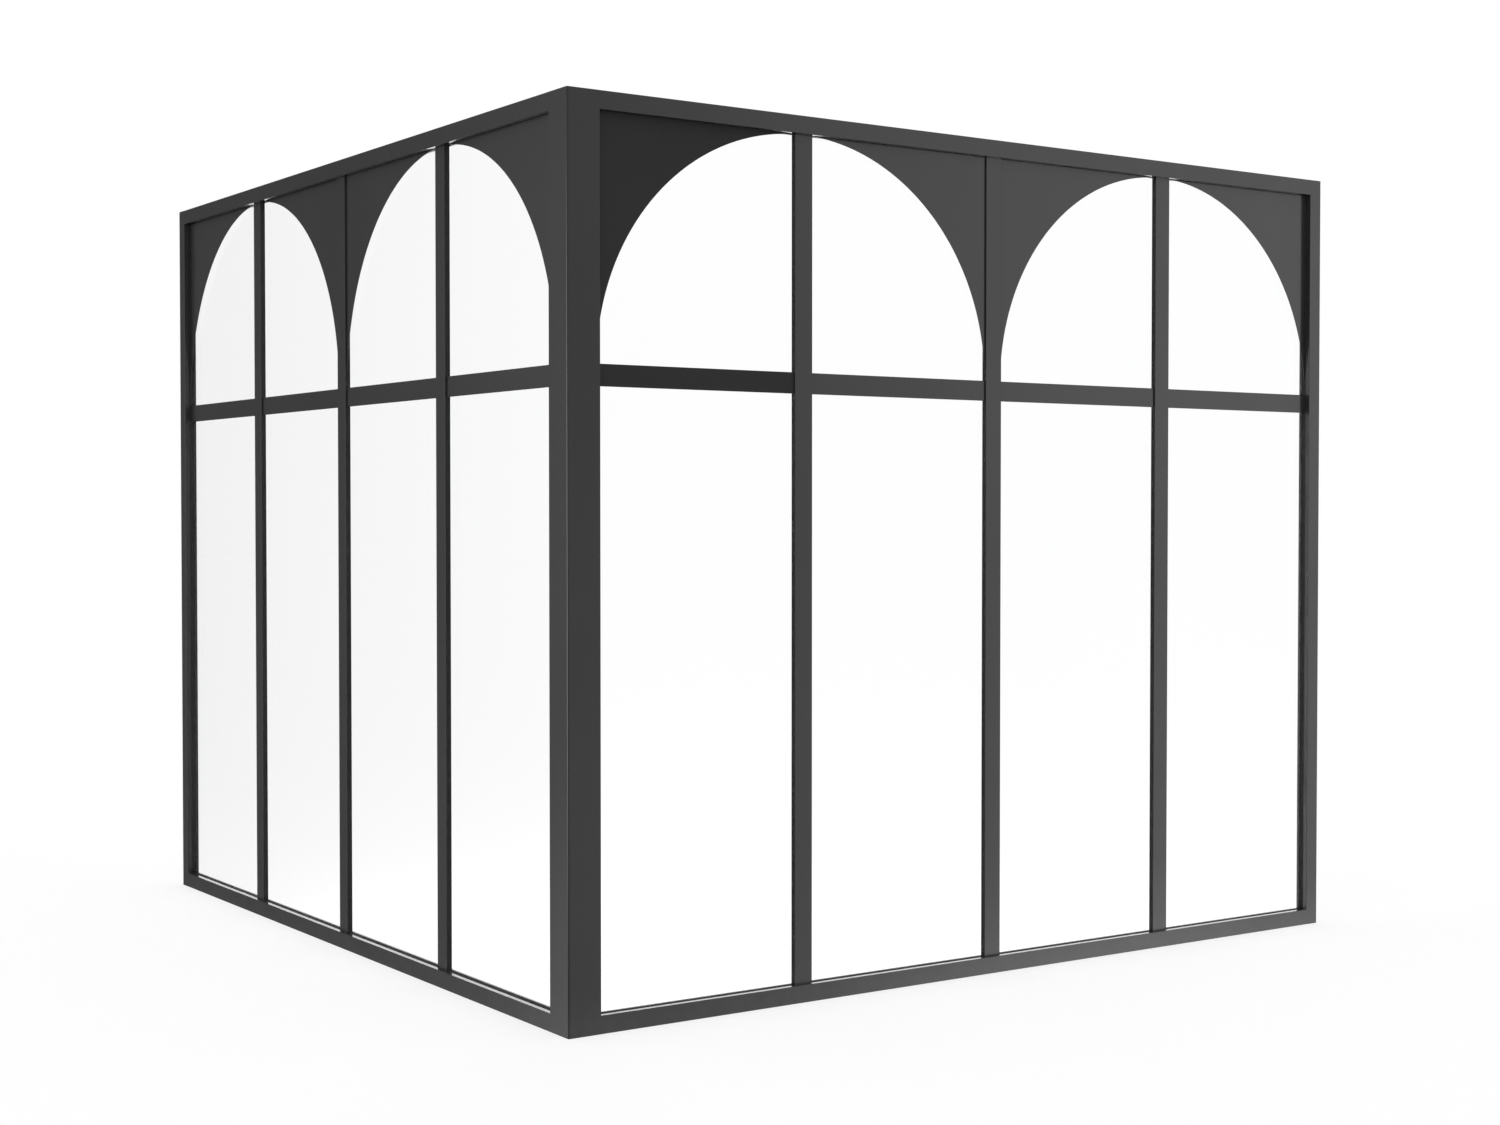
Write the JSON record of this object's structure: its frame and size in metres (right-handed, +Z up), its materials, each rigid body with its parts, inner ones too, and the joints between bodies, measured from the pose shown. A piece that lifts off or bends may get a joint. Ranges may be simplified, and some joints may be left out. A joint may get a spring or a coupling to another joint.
{
  "type": "glazed corner screen",
  "caption": "L-shaped glazed metal screen for a corner: dark framed walls at a right angle, tall panes, a transom line and half-round arched heads.",
  "frame": {"origin": "centre of the corner post's foot, on the floor", "axes": "+Z up, +X along the right wall and +Y along the left wall, both away from the corner post"},
  "size_m": [2.9, 2.9, 2.5],
  "materials": {
    "frame_paint": "satin dark grey paint",
    "bar_paint": "satin dark grey paint",
    "gasket_rubber": "matt black",
    "clear_glass": "clear, polished",
    "bare_alloy": "plain mill finish, hidden",
    "cap_plastic": "matt dark grey"
  },
  "bodies": {
    "root": {"corner_post": "frame_paint", "corner_post_foot_plate": "bare_alloy", "corner_post_top_cap": "cap_plastic", "right_bottom_rail": "frame_paint", "right_bottom_rail_post_connector": "bare_alloy", "right_bottom_rail_jamb_connector": "bare_alloy", "right_top_rail": "frame_paint", "right_top_rail_post_connector": "bare_alloy", "right_top_rail_jamb_connector": "bare_alloy", "right_end_jamb": "frame_paint", "right_end_jamb_foot_plate": "bare_alloy", "right_end_jamb_top_cap": "cap_plastic", "right_gasket_bottom": "gasket_rubber", "right_gasket_top": "gasket_rubber", "right_gasket_post": "gasket_rubber", "right_gasket_jamb": "gasket_rubber", "right_glass_1": "clear_glass", "right_transom_1": "bar_paint", "right_spandrel_1": "bar_paint", "right_glass_2": "clear_glass", "right_transom_2": "bar_paint", "right_spandrel_2": "bar_paint", "right_glass_3": "clear_glass", "right_transom_3": "bar_paint", "right_spandrel_3": "bar_paint", "right_glass_4": "clear_glass", "right_transom_4": "bar_paint", "right_spandrel_4": "bar_paint", "right_mullion_1": "bar_paint", "right_mullion_2": "bar_paint", "right_mullion_3": "bar_paint", "left_bottom_rail": "frame_paint", "left_bottom_rail_post_connector": "bare_alloy", "left_bottom_rail_jamb_connector": "bare_alloy", "left_top_rail": "frame_paint", "left_top_rail_post_connector": "bare_alloy", "left_top_rail_jamb_connector": "bare_alloy", "left_end_jamb": "frame_paint", "left_end_jamb_foot_plate": "bare_alloy", "left_end_jamb_top_cap": "cap_plastic", "left_gasket_bottom": "gasket_rubber", "left_gasket_top": "gasket_rubber", "left_gasket_post": "gasket_rubber", "left_gasket_jamb": "gasket_rubber", "left_glass_1": "clear_glass", "left_transom_1": "bar_paint", "left_spandrel_1": "bar_paint", "left_glass_2": "clear_glass", "left_transom_2": "bar_paint", "left_spandrel_2": "bar_paint", "left_glass_3": "clear_glass", "left_transom_3": "bar_paint", "left_spandrel_3": "bar_paint", "left_glass_4": "clear_glass", "left_transom_4": "bar_paint", "left_spandrel_4": "bar_paint", "left_mullion_1": "bar_paint", "left_mullion_2": "bar_paint", "left_mullion_3": "bar_paint"}
  },
  "joints": []
}
